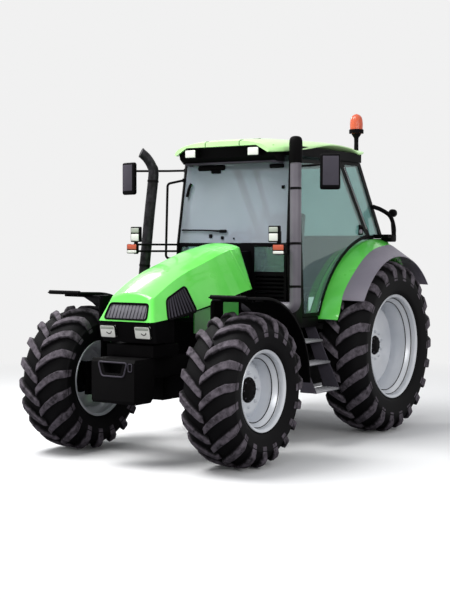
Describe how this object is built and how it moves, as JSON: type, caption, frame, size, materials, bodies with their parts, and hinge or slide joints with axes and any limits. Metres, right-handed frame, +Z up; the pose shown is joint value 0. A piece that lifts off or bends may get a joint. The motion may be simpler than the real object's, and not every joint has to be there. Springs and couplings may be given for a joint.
{
  "type": "farm tractor",
  "caption": "Four-wheel-drive farm tractor with a glazed cab, sloping bonnet, lugged tyres, steered front axle and rear linkage.",
  "frame": {"origin": "on the ground at the middle of the overall length and width", "axes": "+X to the nose, +Y to the left, +Z up"},
  "size_m": [4.732, 2.7, 3.5203],
  "materials": {
    "green_paint": "gloss",
    "dark_green_paint": "gloss",
    "roof_paint": "gloss",
    "black_frame": "satin",
    "black_plastic": "matte",
    "grey_plastic": "matte",
    "cast_black": "matte",
    "rim_silver": "satin",
    "tyre_rubber": "matte",
    "tinted_glass": "gloss",
    "lamp_glass": "gloss",
    "orange_lens": "gloss",
    "seat_fabric": "matte",
    "bare_steel": "satin"
  },
  "bodies": {
    "chassis": {"beacon_lens": "orange_lens", "cab_floor": "black_frame", "cab_front_posts": "black_frame", "cab_front_wall": "black_plastic", "cab_lower_walls": "black_frame", "cab_rear_posts": "black_frame", "cab_windows": "tinted_glass", "dash": "black_plastic", "engine_block": "cast_black", "engine_side_panels": "dark_green_paint", "exhaust_stack": "black_frame", "fitting_arms": "black_frame", "front_axle": "cast_black", "front_frame": "cast_black", "guard_flares": "grey_plastic", "hitch_fittings": "bare_steel", "indicators": "orange_lens", "intake_stack": "grey_plastic", "mirrors": "black_plastic", "radiator": "black_plastic", "rear_guards": "green_paint", "roof_cap": "roof_paint", "roof_frame": "black_plastic", "seat": "seat_fabric", "seat_base": "black_plastic", "side_tanks": "black_plastic", "steps": "bare_steel", "transmission_housing": "cast_black", "windscreen": "tinted_glass", "work_lamps": "lamp_glass"},
    "rear_wheel_left": {"rear_rim_left": "rim_silver", "rear_tyre_left": "tyre_rubber"},
    "rear_wheel_right": {"rear_rim_right": "rim_silver", "rear_tyre_right": "tyre_rubber"},
    "front_wheel_left": {"front_rim_left": "rim_silver", "front_tyre_left": "tyre_rubber", "front_hub_left": "cast_black"},
    "front_wheel_right": {"front_rim_right": "rim_silver", "front_tyre_right": "tyre_rubber", "front_hub_right": "cast_black"},
    "left_knuckle": {"knuckle_left": "cast_black", "front_guard_left": "black_plastic"},
    "right_knuckle": {"knuckle_right": "cast_black", "front_guard_right": "black_plastic"},
    "tie_rod_body": {"tie_rod": "bare_steel"},
    "left_door": {"door_frame_left": "black_frame", "door_glass_left": "tinted_glass"},
    "right_door": {"door_frame_right": "black_frame", "door_glass_right": "tinted_glass"},
    "bonnet": {"bonnet_shell": "green_paint", "front_grille": "grey_plastic", "side_grilles": "grey_plastic", "nose_panel": "black_plastic", "headlamps": "lamp_glass"},
    "lower_link_pair": {"lower_links": "cast_black"},
    "lift_arm_pair": {"lift_arms": "cast_black"},
    "lift_rod_pair": {"lift_rods": "bare_steel"}
  },
  "joints": [
    {"name": "rear_left_spin", "type": "hinge", "parent": "chassis", "child": "rear_wheel_left", "pos_m": [-1.1, 0.9365, 0.944], "axis": [0, 1, 0], "continuous": true},
    {"name": "rear_right_spin", "type": "hinge", "parent": "chassis", "child": "rear_wheel_right", "pos_m": [-1.1, -0.9365, 0.944], "axis": [0, 1, 0], "continuous": true},
    {"name": "left_steer", "type": "hinge", "parent": "chassis", "child": "left_knuckle", "pos_m": [1.643, 0.72, 0.719], "axis": [0, 0, 1], "range_deg": [-35, 35]},
    {"name": "right_steer", "type": "hinge", "parent": "chassis", "child": "right_knuckle", "pos_m": [1.643, -0.72, 0.719], "axis": [0, 0, 1], "range_deg": [-35, 35]},
    {"name": "tie_rod_pivot", "type": "hinge", "parent": "left_knuckle", "child": "tie_rod_body", "pos_m": [1.443, 0.72, 0.6], "axis": [0, 0, 1], "range_deg": [-35, 35]},
    {"name": "front_left_spin", "type": "hinge", "parent": "left_knuckle", "child": "front_wheel_left", "pos_m": [1.643, 0.963, 0.719], "axis": [0, 1, 0], "continuous": true},
    {"name": "front_right_spin", "type": "hinge", "parent": "right_knuckle", "child": "front_wheel_right", "pos_m": [1.643, -0.963, 0.719], "axis": [0, 1, 0], "continuous": true},
    {"name": "left_door_hinge", "type": "hinge", "parent": "chassis", "child": "left_door", "pos_m": [0.232, 0.765, 1.306], "axis": [0, 0.0412, -0.9992], "range_deg": [0, 80]},
    {"name": "right_door_hinge", "type": "hinge", "parent": "chassis", "child": "right_door", "pos_m": [0.232, -0.765, 1.306], "axis": [0, 0.0412, 0.9992], "range_deg": [0, 80]},
    {"name": "bonnet_hinge", "type": "hinge", "parent": "chassis", "child": "bonnet", "pos_m": [0.86, 0, 1.96], "axis": [0, -1, 0], "range_deg": [0, 50]},
    {"name": "lower_link_lift", "type": "hinge", "parent": "chassis", "child": "lower_link_pair", "pos_m": [-1.35, 0, 0.55], "axis": [0, 1, 0], "range_deg": [-18, 30]},
    {"name": "lift_arm_lift", "type": "hinge", "parent": "chassis", "child": "lift_arm_pair", "pos_m": [-1.35, 0, 1.2], "axis": [0, 1, 0], "range_deg": [-18, 30]},
    {"name": "lift_rod_pivot", "type": "hinge", "parent": "lift_arm_pair", "child": "lift_rod_pair", "pos_m": [-1.77, 0, 1.2], "axis": [0, 1, 0], "range_deg": [-30, 18]}
  ],
  "couplings": [
    {"joint": "right_steer", "follows": "left_steer", "ratio": 1},
    {"joint": "tie_rod_pivot", "follows": "left_steer", "ratio": -1},
    {"joint": "lift_arm_lift", "follows": "lower_link_lift", "ratio": 1},
    {"joint": "lift_rod_pivot", "follows": "lower_link_lift", "ratio": -1}
  ]
}
